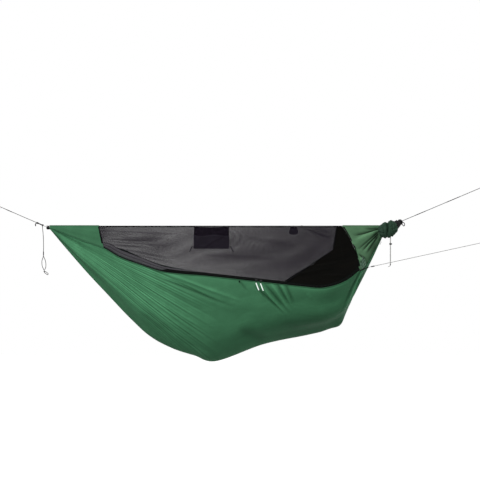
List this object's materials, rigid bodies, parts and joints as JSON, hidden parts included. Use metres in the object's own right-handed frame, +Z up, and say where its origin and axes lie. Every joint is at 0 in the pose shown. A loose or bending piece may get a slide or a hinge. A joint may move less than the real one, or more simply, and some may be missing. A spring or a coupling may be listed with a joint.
{
  "type": "camping hammock with insect net",
  "caption": "Camping hammock with gathered ends, a zipped insect net on a ridgeline, end hoods, a hanging organiser, a stuff sack and adjustable suspension lines.",
  "frame": {"origin": "middle of the left buckle's rope bar, where the strap round the left tree holds the hammock", "axes": "+X along the ridgeline from the left tree to the right tree, +Z up, -Y towards the side with the zip"},
  "size_m": [3.9387, 1.0345, 1.3958],
  "materials": {
    "green_fabric": "matt woven nylon",
    "hood_fabric": "matt woven nylon",
    "insect_net": "see-through black net",
    "black_fabric": "matt woven nylon",
    "zip_band": "woven zip tape",
    "zip_metal": "dark painted slider",
    "pull_plastic": "pale soft plastic",
    "grey_cord": "braided, grey with dark flecks",
    "pale_cord": "thin braided cord",
    "black_cord": "braided",
    "black_plastic": "moulded",
    "buckle_alloy": "tumbled",
    "sack_fabric": "matt woven nylon"
  },
  "bodies": {
    "tree_ends": {"left_buckle": "buckle_alloy", "right_buckle": "buckle_alloy"},
    "hammock": {"body_left_end": "green_fabric", "body_left": "green_fabric", "body_shell": "green_fabric", "body_right": "green_fabric", "near_hem": "green_fabric", "far_hem": "green_fabric", "left_hood": "hood_fabric", "right_hood": "hood_fabric", "far_net": "insect_net", "zip_lower_band": "zip_band", "zip_tab": "black_cord", "ridgeline": "black_cord", "ridge_stop": "black_cord", "left_whipping": "black_cord", "right_whipping": "black_cord", "left_end_loop": "grey_cord", "right_end_loop": "grey_cord", "left_line": "grey_cord", "right_line": "grey_cord", "left_eye": "grey_cord", "right_eye": "grey_cord", "tie_out_loop": "black_cord", "guyline_knot": "black_cord", "guyline": "pale_cord", "guyline_end_loop": "pale_cord", "hem_loop": "black_cord", "hem_bead": "black_plastic", "hood_toggle": "black_cord"},
    "door": {"door_net": "insect_net", "door_dark_panel": "black_fabric", "zip_upper_band": "zip_band"},
    "left_zip_slider": {"left_slider": "zip_metal"},
    "right_zip_slider": {"right_slider": "zip_metal"},
    "left_zip_pull": {"left_pull": "pull_plastic"},
    "right_zip_pull": {"right_pull": "pull_plastic"},
    "organiser_hangers": {"organiser_left_ring": "black_plastic", "organiser_right_ring": "black_plastic"},
    "organiser": {"organiser_back": "black_fabric", "organiser_pocket": "black_fabric", "organiser_left_tie": "black_cord", "organiser_right_tie": "black_cord"},
    "pouch": {"ridge_pouch": "black_fabric", "pouch_ring": "black_plastic"},
    "left_adjuster": {"left_hitch": "black_cord", "left_hitch_end": "black_cord", "left_tail": "grey_cord", "left_tail_splice": "black_cord", "left_tail_eye": "grey_cord", "left_tail_knot": "black_cord", "left_tail_end_loop": "grey_cord"},
    "stuff_sack": {"sack_hitch": "black_cord", "sack_mouth": "black_fabric", "sack_bag": "sack_fabric", "sack_drawcord": "pale_cord", "sack_cord_knot": "black_cord"},
    "sack_cord_lock": {"cord_lock": "black_plastic"},
    "lock_button": {"cord_lock_button": "black_plastic"},
    "tensioner": {"guyline_tensioner": "black_plastic"}
  },
  "joints": [
    {"name": "hammock_swing", "type": "hinge", "parent": "tree_ends", "child": "hammock", "pos_m": [0, 0, 0], "axis": [0.9993, 0, 0.0382], "range_deg": [-25, 25]},
    {"name": "door_lift", "type": "hinge", "parent": "hammock", "child": "door", "pos_m": [1.757, 0, -0.177], "axis": [-1, 0, 0], "range_deg": [0, 120]},
    {"name": "left_zip_slide", "type": "slide", "parent": "hammock", "child": "left_zip_slider", "axis": [0.9889, -0.103, -0.107], "range_m": [-0.36, 0]},
    {"name": "right_zip_slide", "type": "slide", "parent": "hammock", "child": "right_zip_slider", "axis": [0.9889, -0.103, -0.107], "range_m": [0, 0.28]},
    {"name": "left_pull_swing", "type": "hinge", "parent": "left_zip_slider", "child": "left_zip_pull", "pos_m": [2.058, -0.40613, -0.58336], "axis": [-0.9889, 0.103, 0.107], "range_deg": [0, 80]},
    {"name": "right_pull_swing", "type": "hinge", "parent": "right_zip_slider", "child": "right_zip_pull", "pos_m": [2.09162, -0.40963, -0.587], "axis": [-0.9889, 0.103, 0.107], "range_deg": [0, 80]},
    {"name": "organiser_slide", "type": "slide", "parent": "hammock", "child": "organiser_hangers", "axis": [1, 0, 0], "range_m": [-0.2, 0.2]},
    {"name": "organiser_swing", "type": "hinge", "parent": "organiser_hangers", "child": "organiser", "pos_m": [1.712, 0, -0.1878], "axis": [1, 0, 0], "range_deg": [-15, 15]},
    {"name": "pouch_slide", "type": "slide", "parent": "hammock", "child": "pouch", "axis": [1, 0, 0], "range_m": [-0.2, 0.03]},
    {"name": "left_adjuster_slide", "type": "slide", "parent": "hammock", "child": "left_adjuster", "axis": [-0.9178, 0, 0.397], "range_m": [0, 0.18]},
    {"name": "sack_slide", "type": "slide", "parent": "hammock", "child": "stuff_sack", "axis": [0.9216, 0, 0.3882], "range_m": [0, 0.11]},
    {"name": "cord_lock_slide", "type": "slide", "parent": "stuff_sack", "child": "sack_cord_lock", "axis": [0, 0, 1], "range_m": [-0.1, 0.03]},
    {"name": "lock_button_press", "type": "slide", "parent": "sack_cord_lock", "child": "lock_button", "axis": [-1, 0, 0], "range_m": [0, 0.0035], "stiffness_N_per_m": 200, "springref_m": -0.003},
    {"name": "tensioner_slide", "type": "slide", "parent": "hammock", "child": "tensioner", "axis": [0.9313, -0.2958, 0.2126], "range_m": [0, 0.25]}
  ]
}
